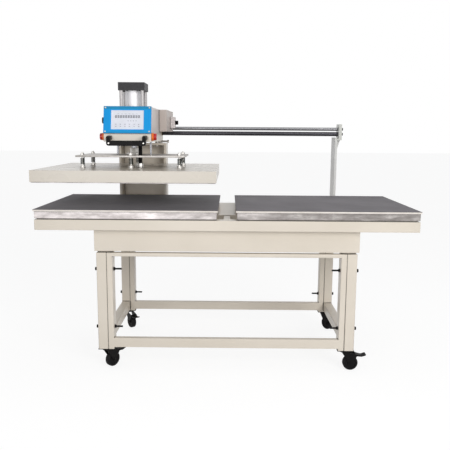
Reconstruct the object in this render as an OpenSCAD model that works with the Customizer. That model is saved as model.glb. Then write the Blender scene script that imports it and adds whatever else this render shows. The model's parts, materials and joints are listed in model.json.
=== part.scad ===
// Dual station heat press: two fixed lower platens on a wheeled stand, and one heated head
// that slides along two overhead rods from station to station. Millimetres, +Z up, +X to the
// right, +Y away from the operator. The origin is on the floor, under the middle of the press.

/* [Platens] */
// Width of each platen
platen_w = 1000; // [800:10:1100]
// Depth of each platen, front to back
platen_d = 800; // [700:10:880]
// Gap between the two lower platens
station_gap = 93; // [70:1:160]
// Opening between the lower pad and the raised hot platen
open_gap = 140; // [100:1:160]
// Travel of the hot platen against its springs
float_travel = 12; // [6:1:14]
// Thickness of the dark top sheet of each pad
pad_t = 1.5; // [1:0.5:4]
// Thickness of the white foam under the top sheet
foam_t = 9; // [5:0.5:12]
// Thickness of each lower aluminium plate
plate_t = 37; // [20:1:40]
// Height of the spacer strips under each lower plate
plate_spacer_h = 6; // [3:0.5:10]
// Thickness of the heated aluminium platen
hot_plate_t = 25; // [18:1:32]
// Height of the cover over the hot platen
cover_h = 61; // [54:1:80]
// How far the hot plate shows below its cover
hot_plate_show = 4.5; // [2:0.5:8]

/* [Table and base] */
// Height of the table beams
beam_h = 56; // [50:1:90]
// Width of the table beams
beam_w = 60; // [40:1:70]
// How much each pad is cut back at its outer end
pad_trim = 20; // [0:0.5:30]
// How far each pad stands past the table frame at its outer end
pad_overhang = 6.5; // [2:0.5:30]
// Height of the base box
base_h = 120; // [100:1:150]
// Width of the base box members
base_tube_w = 60; // [50:1:70]
// How much wider the base is than the travel of the head
base_extra_w = 338; // [330:1:380]
// How far the base box stands back from the front edge
base_setback = 45; // [20:1:60]
// Wall of the welded tubes
tube_wall = 3; // [2:0.5:4]
// Shadow gap between the stand and the base box
base_gap = 10.5; // [6:0.5:16]

/* [Stand] */
// Height of the stand, from the casters to the shadow gap
stand_h = 545.5; // [400:0.5:620]
// Width of the tubes of the side frames
side_tube_w = 55; // [45:1:60]
// Width of the tubes of the front and rear frames
inner_tube_w = 32; // [28:1:40]
// Depth of all legs, front to back
leg_d = 70; // [60:1:80]
// Height of the bottom rails
rail_h = 52; // [40:1:60]
// Height of the bottom rails above the foot of the legs
rail_lift = 11.5; // [6:0.5:30]
// Height of the top rails of the stand
top_rail_h = 20.5; // [15:0.5:40]
// Diameter of the long frame bolts
frame_bolt_d = 10; // [8:1:12]
// Length of thread that shows past the nut
frame_bolt_tail = 36; // [10:1:50]

/* [Casters] */
// Overall height of a caster
caster_h = 120; // [114:1:140]
// Diameter of a caster wheel
wheel_d = 84; // [70:1:90]
// Width of a caster wheel
wheel_w = 30; // [22:1:34]
// Distance from the swivel axis to the axle
caster_trail = 32; // [24:1:36]

/* [Column and rods] */
// Width of the moving column
column_w = 312; // [280:1:330]
// Depth of the moving column
column_d = 110; // [100:1:130]
// Plate thickness of the moving column
column_t = 15; // [8:1:18]
// How far the column stands left of the head
column_shift = 18; // [0:1:20]
// Clear space between the platens and the column
column_gap = 40; // [25:1:60]
// Diameter of the upper guide rod
upper_rod_d = 22; // [16:1:25]
// Diameter of the lower guide rod
lower_rod_d = 28; // [20:1:30]
// Height of the upper rod above the lower rod
rod_pitch = 33; // [32:1:40]
// Thickness of the flat end posts
post_t = 15; // [10:1:18]
// Depth of the flat end posts
post_d = 140; // [120:1:145]

/* [Head] */
// Width of the head beam and the control box
head_w = 258; // [250:1:280]
// Clear space between the pressure plate and the head
head_room = 77; // [66:1:100]
// Height of the head beam
head_h = 45; // [44:1:55]
// Depth of the control box
control_d = 358; // [340:1:372]
// Room over the guide rods inside the control box
control_room = 4; // [3:0.5:20]
// Lean of the control panel, in degrees
panel_lean = 13; // [0:1:18]
// Sheet thickness of the covers
sheet_t = 2; // [1.5:0.5:3]
// Width of the display window
display_w = 178; // [150:1:200]
// Height of the display window
display_h = 106; // [90:1:110]
// Width of the arm housing
arm_w = 353; // [320:1:360]
// Height of the arm housing
arm_h = 129; // [120:1:140]
// Width across the handle
handle_w = 214; // [200:1:230]
// Height of the handle bar
handle_bar_h = 28; // [20:1:30]
// Diameter of the side start buttons
button_d = 38; // [30:1:40]
// Travel of the start buttons
button_travel = 5; // [3:0.5:7]

/* [Cylinder and pressure plate] */
// Width of the square cylinder end caps
cap_w = 150; // [140:1:156]
// Height of each cylinder end cap
cap_h = 44; // [36:1:50]
// Outer diameter of the cylinder barrel
barrel_d = 96; // [86:1:104]
// Diameter of the cylinder tie rods
tie_rod_d = 20; // [14:1:22]
// Diameter of the piston rod
piston_rod_d = 32; // [25:1:36]
// Diameter of the two guide rods beside the cylinder
guide_rod_d = 12; // [10:1:16]
// Width of the pressure plate
press_plate_w = 610; // [600:1:660]
// Depth of the pressure plate
press_plate_d = 335; // [325:1:380]
// Thickness of the pressure plate
press_plate_t = 10; // [8:1:16]
// Distance between neighbouring springs, left to right
spring_pitch_x = 275; // [260:1:280]
// Distance between the two rows of springs
spring_pitch_y = 255; // [240:1:270]
// Outer diameter of the springs
spring_d = 26; // [24:1:30]
// Height of the springs between their seats
spring_h = 49; // [42:1:60]
// Wire of the springs
spring_wire = 3.6; // [3:0.2:4.2]
// Turns of each spring
spring_turns = 6; // [5:1:7]
// Diameter of the spring bolts
spring_bolt_d = 12; // [10:1:14]
// Diameter of the bore of the heater lead sleeve
lead_d = 18; // [8:1:20]

/* [Hidden] */
$fn = 64;

// Gaps shared by all parts: the overrun of every cut, the radial clearance of a turning or
// sliding fit, the gap between faces that pass each other, and the clearance in an opening
over = 1;
run_gap = 0.05;
slip_gap = 0.3;
pass_gap = 1;

// Front to back: how far the rods stand behind the column, and the base behind the rods
rod_back = 30;
base_back = 95;
total_d = platen_d + column_gap + column_d + rod_back + base_back;
front_y = -total_d / 2;
back_y = total_d / 2;
pad_back_y = front_y + platen_d;
column_y = [pad_back_y + column_gap, pad_back_y + column_gap + column_d];
rail_y = (column_y[0] + column_y[1]) / 2;
rod_y = column_y[1] + rod_back;
head_y = front_y + platen_d / 2;

// Left to right: the stand ends inside the base, and the posts stand outside it on packing
stand_inset = 7.5;
packing_t = 5;
post_gap = 2;
travel = platen_w + station_gap;
head_x = -travel / 2;
column_x = head_x - column_shift;
pad_end_x = travel / 2 + platen_w / 2 - pad_trim;
base_end_x = (travel + base_extra_w) / 2;
stand_end_x = base_end_x - stand_inset;
post_in_x = max(base_end_x + packing_t, column_w / 2 - column_x + post_gap);

// Heights of the stand, the table and the platens, from the floor up
seat_h = 12;
leg_top_z = caster_h + stand_h;
base_z = leg_top_z + base_gap;
base_top_z = base_z + base_h;
beam_top_z = base_top_z + beam_h;
plate_z = beam_top_z + plate_spacer_h;
foam_z = plate_z + plate_t;
pad_z = foam_z + foam_t;
pad_top_z = pad_z + pad_t;
hot_z = pad_top_z + open_gap;
hot_top_z = hot_z + hot_plate_t;
cover_z = hot_z + hot_plate_show;
cover_top_z = cover_z + cover_h;
seat_z = cover_top_z + seat_h;
press_z = seat_z + spring_h;
press_top_z = press_z + press_plate_t;

// Heights of the head, the cylinder, the column and the rods
piston_t = 30;
piston_room = 5;
barrel_room = 23;
column_drop = 16;
rod_rise = 4.5;
riser_h = 14;
guide_short = 2;
head_z = press_top_z + head_room;
head_top_z = head_z + head_h;
cap_top_z = head_top_z + cap_h;
barrel_top_z = cap_top_z + open_gap + piston_t + piston_room + barrel_room;
object_top_z = barrel_top_z + cap_h;
column_top_z = head_z - column_drop;
lower_rod_z = head_top_z + rod_rise;
upper_rod_z = lower_rod_z + rod_pitch;
arm_z = [head_top_z + riser_h, head_top_z + riser_h + arm_h];
guide_top_z = head_top_z + open_gap - guide_short;
control_z = [head_top_z, guide_top_z + control_room + sheet_t];

// Members of the stand
leg_inset = 5;
rear_leg_reach = 32;
bolt_lift = 120;
bolt_drop = 96.5;
hex_af = 17;
hex_h = 8;
cap_nut_h = 14;
side_leg_x = [stand_end_x - side_tube_w, stand_end_x];
inner_leg_x = [side_leg_x[0] - inner_tube_w, side_leg_x[0]];
leg_pair_x = (inner_leg_x[0] + side_leg_x[1]) / 2;
base_front_y = front_y + base_setback;
front_leg_y = [base_front_y + leg_inset, base_front_y + leg_inset + leg_d];
rear_leg_y = [pad_back_y + rear_leg_reach - leg_d, pad_back_y + rear_leg_reach];
leg_y = [(front_leg_y[0] + front_leg_y[1]) / 2, (rear_leg_y[0] + rear_leg_y[1]) / 2];
leg_z = [caster_h, leg_top_z];
low_rail_z = [caster_h + rail_lift, caster_h + rail_lift + rail_h];
top_rail_z = [leg_top_z - top_rail_h, leg_top_z];
frame_bolt_z = [caster_h + bolt_lift, leg_top_z - bolt_drop];

// Members of the base and the table
spacer_w = 75;
spacer_inset = 14;
drain_d = 14;
rib_w = 36;
bridge_t = 3;
bridge_lip = 2.5;
bridge_back = 145;
strip_inset = 12;
plate_inset_in = 8;
plate_inset_y = 4;
base_z_range = [base_z, base_top_z];
beam_z = [base_top_z, beam_top_z];
base_rail_y = [rail_y - base_tube_w / 2, rail_y + base_tube_w / 2];
table_end_x = pad_end_x - pad_overhang;
plate_x = [station_gap / 2 + plate_inset_in, table_end_x];
plate_y = [front_y + plate_inset_y, pad_back_y - plate_inset_y];
pad_x = [station_gap / 2, pad_end_x];
pad_y = [front_y, pad_back_y];

// End posts and the ends of the rods
post_front = 50;
post_foot = 14;
post_under = 8.5;
block_in = 24;
block_w = 20;
block_d = 100;
shelf_t = 10;
block_under = 30.5;
block_over = 32.5;
rod_seat = 14;
rod_bolt_d = 10;
rod_bolt_in = 12;
rod_bolt_head_d = 18;
rod_bolt_head_h = 14;
gusset_drop = 92;
gusset_t = 12;
post_bolt_pitch_y = 90;
post_bolt_pitch_z = 60;
post_bolt_in = 12;
post_y = [rod_y - post_front, rod_y - post_front + post_d];
block_y = [rod_y - post_front, rod_y - post_front + block_d];
block_z = [lower_rod_z - block_under, upper_rod_z + block_over];
block_x = [post_in_x + block_in, post_in_x + block_in + block_w];
post_z = [base_z + post_foot, lower_rod_z - lower_rod_d / 2 - post_under];
post_mid_y = (post_y[0] + post_y[1]) / 2;
base_mid_z = (base_z + base_top_z) / 2;

// Linear rail and its two blocks
rail_w = 20;
rail_waist_w = 14;
rail_foot_h = 6;
rail_waist_h = 5;
rail_head_h = 7;
rail_inset = 3.5;
truck_h = 30;
truck_l = 80;
truck_w = 60;
truck_pitch = 200;
truck_lift = 4;
rail_top_z = base_top_z + rail_foot_h + rail_waist_h + rail_head_h;
truck_top_z = base_top_z + truck_h;

// Bearing blocks on the column
bearing_w = 36;
bearing_pitch = 156;
bearing_front = 15;
bearing_step = 3;
bush_wall = 3;
bush_lip = 2;
cap_bolt_in = 30;
cap_bolt_back = 22;
cap_bolt_pitch = 24;
stop_d = 12;
stop_l = 54;
stop_head_d = 20;
stop_head_l = 10;
stop_rise = 11;
stop_back = 22;
bearing_y = [rail_y - bearing_front, block_y[1]];

// Head beam and arm housing
head_front = 172;
head_back = 640;
arm_rod_gap = 55;
arm_wall = 6;
head_wall = 8;
rod_boss_d = 64;
guide_share = 0.4;
guide_pitch = cap_w + guide_share * (head_w - cap_w);
guide_boss_wall = 3;
guide_bush_wall = 4;
wire_hole_d = 30;
head_front_y = front_y + head_front;
head_back_y = front_y + head_back;
control_y = [head_front_y, head_front_y + control_d];
arm_y = [control_y[1], rod_y - arm_rod_gap];
arm_foot_y = [arm_y[0] + arm_wall, head_back_y];
wire_y = (arm_foot_y[0] + arm_foot_y[1]) / 2;

// Panel
bezel_t = 10;
bezel_lip = 1.5;
panel_t = 7;
digit_w = 146;
digit_h = 17;
digit_in = 1;
digit_rise = 18;
key_w = 13;
key_h = 8;
key_out = 1;
key_pitch = 25;
key_drops = [24, 36];
screw_d = 8;
screw_h = 2;
screw_inset = 9;
panel_l = (control_z[1] - control_z[0]) / cos(panel_lean);
panel_back = (control_z[1] - control_z[0]) * tan(panel_lean);

// Handle
handle_t = 22;
handle_gap = 28;
handle_arm_w = 20;
handle_drop = 21;
handle_rise = 32;
handle_lug_h = 22;
handle_screw_x = 94;
handle_bar_z = [head_z - handle_drop, head_z - handle_drop + handle_bar_h];

// Start buttons
button_back = 35;
button_rise = 5;
collar_wall = 2.5;
collar_l = 12;
collar_cup = 7;
button_l = 17;
button_rim = 3;
stem_d = 14;
stem_l = 24;
button_y = head_front_y + button_back;
button_z = head_z + head_h / 2 + button_rise;
button_x = head_w / 2 + collar_l - collar_cup + button_travel + slip_gap;

// Knobs, valve block and air inlet
knob_d = 34;
knob_h = 12;
knob_shaft_d = 8;
knob_shaft_l = 10;
knob_back = 21;
knob_rise = 70;
knob_flute_d = 4;
knob_flutes = 12;
valve_t = 30;
valve_back = 210;
valve_w = 70;
valve_rise = 22;
valve_h = 70;
reg_knob_d = 26;
reg_knob_h = 18;
port_d = 11.5;
port_depth = 14;
port_drop = 20;
knob_y = head_front_y + knob_rise * tan(panel_lean) + knob_back;
knob_z = control_z[0] + knob_rise;
valve_y = [arm_y[0] + valve_back, arm_y[0] + valve_back + valve_w];
valve_z = [arm_z[0] + valve_rise, arm_z[0] + valve_rise + valve_h];
valve_mid_y = (valve_y[0] + valve_y[1]) / 2;
valve_mid_z = (valve_z[0] + valve_z[1]) / 2;
valve_out_x = head_x + arm_w / 2 + valve_t;

// Power inlet
inlet_flange = 60;
inlet_flange_t = 5;
inlet_d = 50;
inlet_l = 22;
inlet_bore_d = 42;
inlet_pin_d = 6;
inlet_pin_ring = 26;
inlet_pin_l = 14;
inlet_pins = 5;
inlet_drop = 35;
inlet_y = arm_y[1];
inlet_z = arm_z[1] - inlet_drop;

// Cylinder and rod coupling
barrel_wall = 5;
tie_pitch = 120;
stub_d = 12;
tie_nut_d = 18;
tie_nut_h = 8;
tie_sink_d = 20;
tie_sink = 10;
cushion_d = 60;
cushion_h = 18;
cap_port_d = 12;
cap_port_in = 10;
flange_d = 90;
flange_t = 10;
boss_d = 50;
boss_h = 30;
flange_bolt_head_d = 12;
flange_bolt_head = 6;
flange_bolt_ring = 72;
piston_z = [barrel_top_z - piston_room - piston_t, barrel_top_z - piston_room];

// Hot platen, its cover and its bolts
cover_inset_x = 10;
cover_inset_y = 5;
cover_back = 15;
hot_margin = 5;
bolt_in = 12;
seat_d = 30;
nut_af = 19;
nut_h = 10;
bolt_tip = 6;
cover_x = [head_x - platen_w / 2 + cover_inset_x, head_x + platen_w / 2 - cover_inset_x];
cover_y = [front_y + cover_inset_y, pad_back_y + cover_back];
bolt_x = [head_x - spring_pitch_x, head_x, head_x + spring_pitch_x];
bolt_y = [head_y - spring_pitch_y / 2, head_y + spring_pitch_y / 2];
press_x = [head_x - press_plate_w / 2, head_x + press_plate_w / 2];
press_y = [head_y - press_plate_d / 2, head_y + press_plate_d / 2];

// Sleeve of the heater lead
lead_right = 50;
lead_front = 100;
sleeve_wall = 2;
sleeve_groove = 1.2;
sleeve_ribs = 18;
lead_room = 2;
lead_collar_wall = 4;
lead_collar_rise = 14;
lead_x = head_x + lead_right;
lead_y = head_y - lead_front;
sleeve_d = lead_d + 2 * sleeve_wall;
lead_hole_d = sleeve_d + 2 * lead_room;
sleeve_z = [cover_top_z + float_travel + slip_gap, head_z];

// Casters
plate_l = 92;
caster_plate_t = 4;
fork_disc_d = 56;
fork_disc_t = 10;
pin_d = 12;
pin_head_d = 22;
pin_head_t = 5;
fork_t = 3;
fork_room = 2.5;
fork_back = 19;
fork_rise = 1;
axle_d = 8;
axle_head_d = 14;
axle_head_t = 3;
axle_boss_r = 13;
axle_neck = [12, 5];
pedal_pivot = [30, 46];
pivot_d = 6;
pivot_boss_r = 7;
pivot_neck = [6, 3.6];
hub_d = 24;
hub_gap = 0.1;
web_half = 10;
rim_in = 14;
rim_lip = 2;
tyre_chamfer = 4;
pedal_out = [31, 53, 56];
pedal_top = [1, 7, 4];
pedal_low = [8, 1];
pedal_root = [4, 5.5];
caster_angles = [50, 0, -55, -50];
caster_x = [-leg_pair_x, leg_pair_x, -leg_pair_x, leg_pair_x];
caster_y = [leg_y[0], leg_y[0], leg_y[1], leg_y[1]];
fork_in = wheel_w / 2 + fork_room;
fork_top_z = caster_h - caster_plate_t - slip_gap;
fork_disc_z = fork_top_z - fork_disc_t;
wheel_r = wheel_d / 2;
pivot_x = caster_trail + pedal_pivot[0];
pivot_z = wheel_r + pedal_pivot[1];

// Ranges
function about(c, w) = [c - w / 2, c + w / 2];
function shrink(r, t) = [r[0] + t, r[1] - t];
function sided(r, s) = s > 0 ? r : [-r[1], -r[0]];
function core(b) = [shrink(b[0], tube_wall), shrink(b[1], tube_wall), shrink(b[2], tube_wall)];

// Plain solids between ranges
module block(x, y, z) {
    translate([x[0], y[0], z[0]])
        cube([x[1] - x[0], y[1] - y[0], z[1] - z[0]]);
}

module blocks(list) {
    for (b = list) block(b[0], b[1], b[2]);
}

module rod_x(d, x, y, z) {
    translate([x[0], y, z]) rotate([0, 90, 0]) cylinder(d = d, h = x[1] - x[0]);
}

module rod_y(d, x, y, z) {
    translate([x, y[0], z]) rotate([-90, 0, 0]) cylinder(d = d, h = y[1] - y[0]);
}

module rod_z(d, x, y, z) {
    translate([x, y, z[0]]) cylinder(d = d, h = z[1] - z[0]);
}

module hex_x(af, x, y, z) {
    translate([x[0], y, z]) rotate([0, 90, 0]) cylinder(d = af / cos(30), h = x[1] - x[0], $fn = 6);
}

module hex_z(af, x, y, z) {
    translate([x, y, z[0]]) cylinder(d = af / cos(30), h = z[1] - z[0], $fn = 6);
}

module tubes(list) {
    difference() {
        blocks(list);
        for (b = list) blocks([core(b)]);
    }
}

// Stand
module leg_openings(x) {
    for (y = [front_leg_y, rear_leg_y])
        block(shrink(x, tube_wall), shrink(y, tube_wall), [leg_z[0] - over, leg_z[0] + tube_wall + over]);
}

module frame_bolt_holes() {
    for (y = leg_y, z = frame_bolt_z)
        rod_x(frame_bolt_d, [-stand_end_x - over, stand_end_x + over], y, z);
}

module side_frame(s) {
    x = sided(side_leg_x, s);
    y = [front_leg_y[0], rear_leg_y[1]];
    difference() {
        tubes([[x, front_leg_y, leg_z], [x, rear_leg_y, leg_z], [x, y, low_rail_z], [x, y, top_rail_z]]);
        leg_openings(x);
        frame_bolt_holes();
    }
}

module end_frame(y) {
    right = inner_leg_x;
    left = sided(inner_leg_x, -1);
    x = [left[0], right[1]];
    rail = [y[0], y[0] + inner_tube_w];
    difference() {
        tubes([[left, y, leg_z], [right, y, leg_z], [x, rail, low_rail_z], [x, rail, top_rail_z]]);
        leg_openings(left);
        leg_openings(right);
        frame_bolt_holes();
    }
}

module side_frame_left() {
    color("wheat") side_frame(-1);
}

module side_frame_right() {
    color("wheat") side_frame(1);
}

module front_frame() {
    color("wheat") end_frame(front_leg_y);
}

module rear_frame() {
    color("wheat") end_frame(rear_leg_y);
}

module frame_bolt(s, y, z) {
    nut = [inner_leg_x[0] - hex_h, inner_leg_x[0]];
    rod_x(frame_bolt_d, sided([nut[0] - frame_bolt_tail, stand_end_x + hex_h / 2], s), y, z);
    hex_x(hex_af, sided([stand_end_x, stand_end_x + cap_nut_h], s), y, z);
    hex_x(hex_af, sided(nut, s), y, z);
}

module post_bolt(s, y, z) {
    head = [post_in_x + post_t, post_in_x + post_t + hex_h];
    rod_x(frame_bolt_d, sided([base_end_x - post_bolt_in, head[1] - hex_h / 2], s), y, z);
    hex_x(hex_af, sided(head, s), y, z);
}

module rod_end_bolt(s, z) {
    head = [block_x[1], block_x[1] + rod_bolt_head_h];
    rod_x(rod_bolt_d, sided([block_x[0] + rod_seat - rod_bolt_in, head[1] - hex_h / 2], s), rod_y, z);
    rod_x(rod_bolt_head_d, sided(head, s), rod_y, z);
}

module frame_bolts() {
    color("dimgray")
        for (s = [-1, 1]) {
            for (y = leg_y, z = frame_bolt_z) frame_bolt(s, y, z);
            for (y = about(post_mid_y, post_bolt_pitch_y), z = about(base_mid_z, post_bolt_pitch_z))
                post_bolt(s, y, z);
            for (z = [lower_rod_z, upper_rod_z]) rod_end_bolt(s, z);
        }
}

// Base and table
module base_frame() {
    side = [base_end_x - base_tube_w, base_end_x];
    full_x = [-base_end_x, base_end_x];
    full_y = [base_front_y, back_y];
    color("wheat") {
        difference() {
            tubes([[side, full_y, base_z_range], [sided(side, -1), full_y, base_z_range],
                [full_x, [base_front_y, base_front_y + base_tube_w], base_z_range],
                [full_x, [back_y - base_tube_w, back_y], base_z_range]]);
            for (s = [-1, 1]) {
                rod_z(drain_d, s * (base_end_x - base_tube_w / 2), back_y - base_tube_w / 2,
                    [base_z - over, base_z + tube_wall + over]);
                for (y = about(post_mid_y, post_bolt_pitch_y), z = about(base_mid_z, post_bolt_pitch_z))
                    rod_x(frame_bolt_d, sided([base_end_x - tube_wall - over, base_end_x + over], s), y, z);
            }
        }
        for (s = [-1, 1], y = [front_leg_y, rear_leg_y])
            block(about(s * leg_pair_x, spacer_w), shrink(y, spacer_inset), [leg_top_z, base_z]);
    }
}

module base_beams() {
    x = [base_tube_w - base_end_x, base_end_x - base_tube_w];
    color("wheat")
        for (y = [[pad_back_y - base_tube_w, pad_back_y], base_rail_y])
            difference() {
                block(x, y, base_z_range);
                block(shrink(x, -over), shrink(y, tube_wall), shrink(base_z_range, tube_wall));
            }
}

module table_frame() {
    side = [table_end_x - beam_w, table_end_x];
    full_x = [-table_end_x, table_end_x];
    front = [front_y, front_y + beam_w];
    rear = [pad_back_y - beam_w, pad_back_y];
    color("wheat") {
        difference() {
            tubes([[full_x, front, beam_z], [full_x, rear, beam_z], [side, pad_y, beam_z],
                [sided(side, -1), pad_y, beam_z], [about(0, rib_w), pad_y, beam_z],
                [about(travel / 2, rib_w), pad_y, beam_z], [about(-travel / 2, rib_w), pad_y, beam_z]]);
            for (s = [-1, 1])
                rod_z(drain_d, s * (table_end_x - beam_w / 2), front_y + beam_w / 2,
                    [base_top_z - over, base_top_z + tube_wall + over]);
        }
        for (s = [-1, 1], y = [front, rear])
            block(sided(shrink(plate_x, strip_inset), s), shrink(y, strip_inset), [beam_top_z, plate_z]);
        block([bridge_lip - plate_x[0], plate_x[0] - bridge_lip], [front[1] + bridge_back, rear[1]],
            [beam_top_z, beam_top_z + bridge_t]);
    }
}

module lower_plates() {
    color("silver") for (s = [-1, 1]) block(sided(plate_x, s), plate_y, [plate_z, foam_z]);
}

module foam_layers() {
    color("white") for (s = [-1, 1]) block(sided(pad_x, s), pad_y, [foam_z, pad_z]);
}

module pads() {
    color("dimgray") for (s = [-1, 1]) block(sided(pad_x, s), pad_y, [pad_z, pad_top_z]);
}

// End posts, rods and rail
module post_gusset(s) {
    x = [post_in_x + post_t, block_x[1]];
    translate([0, rod_y + gusset_t / 2, 0]) rotate([90, 0, 0]) linear_extrude(height = gusset_t)
        polygon([[s * x[0], block_z[0] - gusset_drop], [s * x[0], block_z[0]], [s * x[1], block_z[0]]]);
}

module post(s) {
    plate = [post_in_x, post_in_x + post_t];
    difference() {
        union() {
            block(sided(plate, s), post_y, post_z);
            block(sided(block_x, s), block_y, block_z);
            block(sided([plate[1], block_x[1]], s), block_y, [block_z[0] - shelf_t, block_z[0]]);
            block(sided([base_end_x, post_in_x], s), post_y, shrink(base_z_range, post_foot));
            post_gusset(s);
        }
        for (y = about(post_mid_y, post_bolt_pitch_y), z = about(base_mid_z, post_bolt_pitch_z))
            rod_x(frame_bolt_d, sided([base_end_x - over, plate[1] + over], s), y, z);
        rod_x(lower_rod_d, sided([block_x[0] - over, block_x[0] + rod_seat], s), rod_y, lower_rod_z);
        rod_x(upper_rod_d, sided([block_x[0] - over, block_x[0] + rod_seat], s), rod_y, upper_rod_z);
        for (z = [lower_rod_z, upper_rod_z])
            rod_x(rod_bolt_d, sided([block_x[0] + rod_seat - over, block_x[1] + over], s), rod_y, z);
    }
}

module post_left() {
    color("gainsboro") post(-1);
}

module post_right() {
    color("gainsboro") post(1);
}

module overhead_rod(d, z) {
    end_x = block_x[0] + rod_seat;
    difference() {
        rod_x(d, [-end_x, end_x], rod_y, z);
        for (s = [-1, 1]) rod_x(rod_bolt_d, sided([end_x - rod_bolt_in, end_x + over], s), rod_y, z);
    }
}

module overhead_rods() {
    color("gray") {
        overhead_rod(lower_rod_d, lower_rod_z);
        overhead_rod(upper_rod_d, upper_rod_z);
    }
}

module carriage_rail() {
    x = [rail_inset - base_end_x, base_end_x - rail_inset];
    waist_z = [base_top_z, rail_top_z];
    color("silver") {
        block(x, about(rail_y, rail_w), [base_top_z, base_top_z + rail_foot_h]);
        block(x, about(rail_y, rail_waist_w), waist_z);
        block(x, about(rail_y, rail_w), [rail_top_z - rail_head_h, rail_top_z]);
    }
}

// Column and its bearings
module column() {
    x = about(column_x, column_w);
    z = [truck_top_z, column_top_z];
    color("wheat") {
        difference() {
            block(x, column_y, z);
            block(shrink(x, column_t), [column_y[0] - over, column_y[1] - column_t],
                [z[0] + column_t, z[1] - column_t]);
            for (c = about(head_x, bearing_pitch), y = cap_bolt_ys())
                rod_z(rod_bolt_d, c, y, [z[1] - column_t - over, z[1] + over]);
        }
    }
}

function cap_bolt_ys() = [column_y[0] + bearing_front + cap_bolt_back + cap_bolt_pitch,
    column_y[0] + bearing_front + cap_bolt_back];

module carriage_blocks() {
    color("dimgray")
        for (c = about(column_x, truck_pitch))
            difference() {
                block(about(c, truck_l), about(rail_y, truck_w), [base_top_z + truck_lift, truck_top_z]);
                block(about(c, truck_l + 2 * over), about(rail_y, rail_waist_w + 2 * run_gap),
                    [base_top_z, rail_top_z]);
                block(about(c, truck_l + 2 * over), about(rail_y, rail_w + 2 * run_gap),
                    [base_top_z, base_top_z + rail_foot_h + run_gap]);
                block(about(c, truck_l + 2 * over), about(rail_y, rail_w + 2 * run_gap),
                    [rail_top_z - rail_head_h - run_gap, rail_top_z + run_gap]);
            }
}

module bearing_blocks() {
    step_y = arm_y[1] + bearing_step;
    color("wheat")
        for (c = about(head_x, bearing_pitch)) {
            x = about(c, bearing_w);
            difference() {
                union() {
                    block(x, bearing_y, [column_top_z, arm_z[0]]);
                    block(x, [step_y, bearing_y[1]], [column_top_z, block_z[1]]);
                }
                rod_x(lower_rod_d + 2 * bush_wall, [x[0] - over, x[1] + over], rod_y, lower_rod_z);
                rod_x(upper_rod_d + 2 * bush_wall, [x[0] - over, x[1] + over], rod_y, upper_rod_z);
                for (y = cap_bolt_ys()) rod_z(rod_bolt_d, c, y, [column_top_z - over, column_top_z + cap_bolt_in]);
            }
        }
}

module bush_x(d, c, z) {
    x = about(c, bearing_w + 2 * bush_lip);
    difference() {
        rod_x(d + 2 * bush_wall, x, rod_y, z);
        rod_x(d + 2 * run_gap, [x[0] - over, x[1] + over], rod_y, z);
    }
}

module linear_bushes() {
    color("darkgoldenrod") {
        for (c = about(head_x, bearing_pitch)) {
            bush_x(lower_rod_d, c, lower_rod_z);
            bush_x(upper_rod_d, c, upper_rod_z);
        }
        for (x = about(head_x, guide_pitch))
            difference() {
                rod_z(guide_rod_d + 2 * guide_bush_wall, x, head_y, [head_z, head_top_z]);
                rod_z(guide_rod_d + 2 * run_gap, x, head_y, [head_z - over, head_top_z + over]);
            }
    }
}

// Head
module arm_housing() {
    x = about(head_x, arm_w);
    color("wheat")
        difference() {
            block(x, arm_y, arm_z);
            block(shrink(x, arm_wall), shrink(arm_y, arm_wall), shrink(arm_z, arm_wall));
            rod_z(wire_hole_d, head_x, wire_y, [arm_z[0] - over, arm_z[0] + arm_wall + over]);
            rod_y(inlet_bore_d, head_x, [arm_y[1] - arm_wall - over, arm_y[1] + over], inlet_z);
            rod_x(knob_shaft_d, [x[1] - arm_wall - over, x[1] + over], valve_mid_y, valve_mid_z);
        }
}

module head_box() {
    x = about(head_x, head_w);
    y = [head_front_y, head_back_y];
    z = [head_z, head_top_z];
    guide_d = guide_rod_d + 2 * guide_bush_wall;
    color("wheat")
        difference() {
            union() {
                difference() {
                    block(x, y, z);
                    block(shrink(x, head_wall), shrink(y, head_wall), shrink(z, head_wall));
                }
                block(x, arm_foot_y, [head_top_z, arm_z[0]]);
                rod_z(rod_boss_d, head_x, head_y, shrink(z, head_wall / 2));
                for (c = about(head_x, guide_pitch))
                    rod_z(guide_d + 2 * guide_boss_wall, c, head_y, shrink(z, head_wall / 2));
            }
            rod_z(piston_rod_d + 2 * pass_gap, head_x, head_y, [z[0] - over, z[1] + over]);
            for (c = about(head_x, guide_pitch)) rod_z(guide_d, c, head_y, [z[0] - over, z[1] + over]);
            for (s = [-1, 1])
                rod_x(stem_d + 2 * pass_gap, [head_x + s * head_w / 2 - head_wall - over,
                    head_x + s * head_w / 2 + head_wall + over], button_y, button_z);
            rod_z(wire_hole_d, head_x, wire_y, [z[1] - head_wall - over, arm_z[0] + over]);
        }
}

module box_wedge(x, t) {
    low = t > 0 ? over : 0;
    front = head_front_y + t / cos(panel_lean);
    lean_y = tan(panel_lean);
    translate([x[0], 0, 0]) rotate([90, 0, 90]) linear_extrude(height = x[1] - x[0])
        polygon([[front - low * lean_y, control_z[0] - low], [control_y[1] - t, control_z[0] - low],
            [control_y[1] - t, control_z[1] - t], [front + panel_back - t * lean_y, control_z[1] - t]]);
}

module control_box() {
    x = about(head_x, head_w);
    cap = cap_w + 2 * pass_gap;
    color("beige")
        difference() {
            box_wedge(x, 0);
            box_wedge(shrink(x, sheet_t), sheet_t);
            block(about(head_x, cap), about(head_y, cap), [control_z[1] - sheet_t - over, control_z[1] + over]);
            rod_x(knob_shaft_d + 2 * run_gap, [x[0] - over, x[0] + sheet_t + over], knob_y, knob_z);
        }
}

// Puts its children on the leaning panel: X from its middle, Y into it, Z up from its foot
module on_panel() {
    translate([head_x, head_front_y, control_z[0]]) rotate([-panel_lean, 0, 0]) children();
}

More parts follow.
